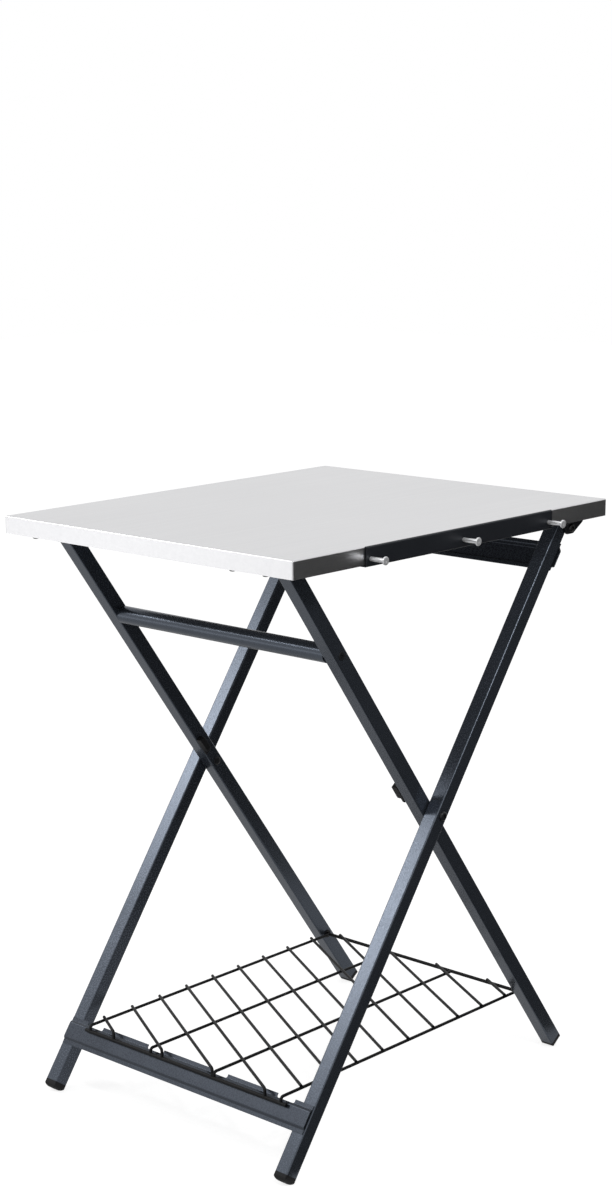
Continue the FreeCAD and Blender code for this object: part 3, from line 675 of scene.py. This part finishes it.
def shelf():
    v = shelfValues
    points, edges, thick, weld = [], [], [], []

    def run(places, radius):
        for place in places:
            points.append(Vector(place) / 1000)
            thick.append(radius / 1000)
            weld.append(False)
        for index in range(len(points) - len(places), len(points) - 1):
            edges.append((index, index + 1))

    def spot(x, y, z):
        points.append(Vector((x, y, z)) / 1000)
        thick.append(0.0)
        weld.append(True)

    frontY, rearY, half, wire, rod = (v[key] for key in ("frontY", "rearY", "halfWidth", "wire", "rod"))
    lower, rodLevel = v["height"], v["frontZ"]
    upper = lower + 2 * wire - v["sink"]
    onFrontRod = rodLevel + rod - v["weldSink"]
    longPlaces = [half * share for share in (-1, -1 / 3, 1 / 3, 1)]
    for x in longPlaces:
        run([(x, rearY, lower), (x, frontY, lower), (x, frontY, rodLevel)], wire)
        spot(x, frontY, onFrontRod)
        spot(x, rearY - rod + v["weldSink"], lower)
    run([(-v["frontRodHalf"], frontY, rodLevel), (v["frontRodHalf"], frontY, rodLevel)], rod)
    run([(-v["rearRodHalf"], rearY, lower), (v["rearRodHalf"], rearY, lower)], rod)

    # slanted wires, from the front to the rear: the first hook over, the last end at the rear rod
    slope = math.tan(math.radians(v["slant"]))
    left, right, rear = -half - v["leftStub"], half + v["rightStub"], rearY + v["rearStub"]
    firstY = frontY + v["bend"]
    crossing = frontY + v["firstCrossing"]
    while crossing - slope * 2 * half < rear - v["lastCrossing"]:
        yLeft = crossing - slope * (left + half)
        yRight = crossing - slope * (right + half)
        start = (left, yLeft, upper) if yLeft < rear else (left + (yLeft - rear) / slope, rear, upper)
        if yRight > firstY:
            run([start, (right, yRight, upper)], wire)
        else:
            x = left + (yLeft - frontY) / slope
            run([start, (x, frontY, upper), (x, frontY, rodLevel)], wire)
            spot(x, frontY, onFrontRod)
        for x in longPlaces:
            y = crossing - slope * (x + half)
            if firstY < y < rearY and start[0] <= x <= right:
                spot(x, y, (lower + upper) / 2)
        crossing += v["pitch"]
    mesh = bpy.data.meshes.new("wireShelf")
    mesh.from_pydata(points, edges, [])
    thickness = mesh.attributes.new("thick", "FLOAT", "POINT")
    welds = mesh.attributes.new("weld", "BOOLEAN", "POINT")
    for index in range(len(points)):
        thickness.data[index].value = thick[index]
        welds.data[index].value = weld[index]
    piece = newPiece("wireShelf", mesh)
    runTree(piece, shelfTree(), {
        "Bend Radius": v["bend"] / 1000, "Weld Size": v["weld"] / 1000,
        "Finish": finishes["wire_black"],
    })
    crease(piece.data, v["smooth"])
    standIn(piece, "wire_shelf")
    print("shelf wires made, welds:", sum(weld))


detailed = ["wire_shelf", "hinge_bracket_screws", "crossbar_screws", "catch_bolts"]
detailed += [kind + side for kind in ("pivot_bolt_", "hinge_pin_") for side in ("left", "right")]
detailed += pegNodes
for node in nodes:
    if node not in detailed:
        dressNode(node)
print("nodes dressed:", len(nodes) - len(detailed))
bolts()
bracketScrews()
mirroredPair("crossbar_screws", flatHeadLoops, flatHeadHeight, seed=4)
catchBolts()
pegs()
print("fasteners and pegs made")
shelf()


# a pale floor that keeps the soft shadow; the camera sees its lift and reflections a weaker one
floorValues = {"half": 12.0, "colour": shade(0.50, 0.50, 0.50), "lift": 0.78, "mirrored": 0.38}


def stageFloor():
    v = floorValues
    mesh = bpy.data.meshes.new("floor")
    corners = [(-1, -1), (1, -1), (1, 1), (-1, 1)]
    mesh.from_pydata([(x * v["half"], y * v["half"], 0) for x, y in corners], [], [(0, 1, 2, 3)])
    f = Finish("paleFloor", Base_Color=v["colour"], Roughness=1.0, Specular_IOR_Level=0.0)
    path = f.node("ShaderNodeLightPath")
    seen = Socket(f.tree, path.outputs["Is Camera Ray"]) * v["lift"]
    mirrored = Socket(f.tree, path.outputs["Is Glossy Ray"]) * v["mirrored"]
    glow = f.node("ShaderNodeEmission", Color=shade(1, 1, 1), Strength=seen + mirrored)
    total = f.node("ShaderNodeAddShader", i0=f.shader.outputs[0], i1=glow.outputs[0])
    f.tree.links.new(total.outputs[0], f.output.inputs[0])
    mesh.materials.append(f.material)
    newPiece("floor", mesh)


# a dark flag at the right, seen only in reflections: flat on the floor, upright along two far edges
flagValues = {
    "from": 0.285, "to": 2.6, "front": -0.9, "rear": 3.2, "tall": 1.25, "above": 0.004,
    "colour": shade(0.05, 0.05, 0.05),
}


def stageFlag():
    v = flagValues
    near, far, front, rear, low = v["from"], v["to"], v["front"], v["rear"], v["above"]
    corners = [
        (near, front, low), (far, front, low), (far, rear, low), (near, rear, low),
        (far, front, v["tall"]), (far, rear, v["tall"]), (near, rear, v["tall"]),
    ]
    mesh = bpy.data.meshes.new("flag")
    mesh.from_pydata(corners, [], [(0, 1, 2, 3), (1, 4, 5, 2), (2, 5, 6, 3)])
    f = Finish("darkFlag", Base_Color=v["colour"], Roughness=1.0, Specular_IOR_Level=0.0)
    mesh.materials.append(f.material)
    flag = newPiece("flag", mesh)
    flag.visible_camera = False
    flag.visible_diffuse = False
    flag.visible_shadow = False


# sizes in metres and power in watts; every lamp points at the same spot
lampValues = {
    "key": {"spot": (-3.0, -2.4, 3.05), "size": (1.7, 0.6), "power": 39.0},
    "front": {"spot": (-2.3, -2.7, 0.42), "size": (1.8, 0.7), "power": 4.5},
    "edge": {"spot": (2.12, -1.05, 2.72), "size": (0.3, 0.45), "power": 21.0},
}
lampAim = (0, 0, 0.6)


def softLamp(name, spot, size, power):
    data = bpy.data.lights.new(name, "AREA")
    data.shape = "RECTANGLE"
    data.size, data.size_y = size
    data.energy = power
    lamp = bpy.data.objects.new(name, data)
    bpy.context.scene.collection.objects.link(lamp)
    turn = (Vector(lampAim) - Vector(spot)).to_track_quat("-Z", "Y")
    lamp.matrix_world = Matrix.Translation(spot) @ turn.to_matrix().to_4x4()


# how bright the white surroundings are as light, in reflections and to the camera
worldValues = {"soft": 0.5, "mirrored": 0.95, "seen": 1.0}


def worldLight():
    v = worldValues
    world = bpy.data.worlds.new("studio")
    bpy.context.scene.world = world
    world.use_nodes = True
    tree = world.node_tree
    tree.nodes.clear()
    out = tree.nodes.new("ShaderNodeOutputWorld")
    soft = tree.nodes.new("ShaderNodeBackground")
    path = tree.nodes.new("ShaderNodeLightPath")
    seen = Socket(tree, path.outputs["Is Camera Ray"]) * (v["seen"] - v["soft"])
    mirrored = Socket(tree, path.outputs["Is Glossy Ray"]) * (v["mirrored"] - v["soft"])
    strength = seen + mirrored + v["soft"]
    soft.inputs[0].default_value = shade(1, 1, 1)
    tree.links.new(strength.value, soft.inputs[1])
    tree.links.new(soft.outputs[0], out.inputs[0])


# the photo's own camera: angles in degrees, distances in metres, focal length and centre in its pixels
cameraValues = {
    "azimuth": 42.67, "elevation": 14.79, "roll": -0.40, "distance": 3.54853,
    "right": -0.0122, "height": 0.56768, "focal": 2220.29, "centreX": 304.9, "centreY": 738.36,
    "wide": 612.0, "tall": 1200.0, "sensor": 36.0, "near": 0.05, "far": 100.0,
}


def photoCamera():
    v = cameraValues
    az, el, roll = (math.radians(v[key]) for key in ("azimuth", "elevation", "roll"))
    back = Vector((math.sin(az) * math.cos(el), -math.cos(az) * math.cos(el), math.sin(el)))
    right = Vector((math.cos(az), math.sin(az), 0))
    up = back.cross(right)
    turnedRight = right * math.cos(roll) + up * math.sin(roll)
    turnedUp = up * math.cos(roll) - right * math.sin(roll)
    target = right * v["right"] + Vector((0, 0, v["height"]))
    data = bpy.data.cameras.new("camera")
    data.sensor_fit = "AUTO"
    data.sensor_width = v["sensor"]
    data.lens = v["focal"] * v["sensor"] / v["tall"]
    data.shift_x = (v["wide"] / 2 - v["centreX"]) / v["tall"]
    data.shift_y = (v["centreY"] - v["tall"] / 2) / v["tall"]
    data.clip_start = v["near"]
    data.clip_end = v["far"]
    camera = bpy.data.objects.new("camera", data)
    bpy.context.scene.collection.objects.link(camera)
    pose = Matrix((turnedRight, turnedUp, back)).transposed().to_4x4()
    pose.translation = target + back * v["distance"]
    camera.matrix_world = pose
    bpy.context.scene.camera = camera


stageFloor()
stageFlag()
for lampName, lamp in lampValues.items():
    softLamp(lampName, **lamp)
worldLight()
photoCamera()
bpy.context.scene.view_settings.view_transform = "Standard"
print("stage, lamps and camera set")
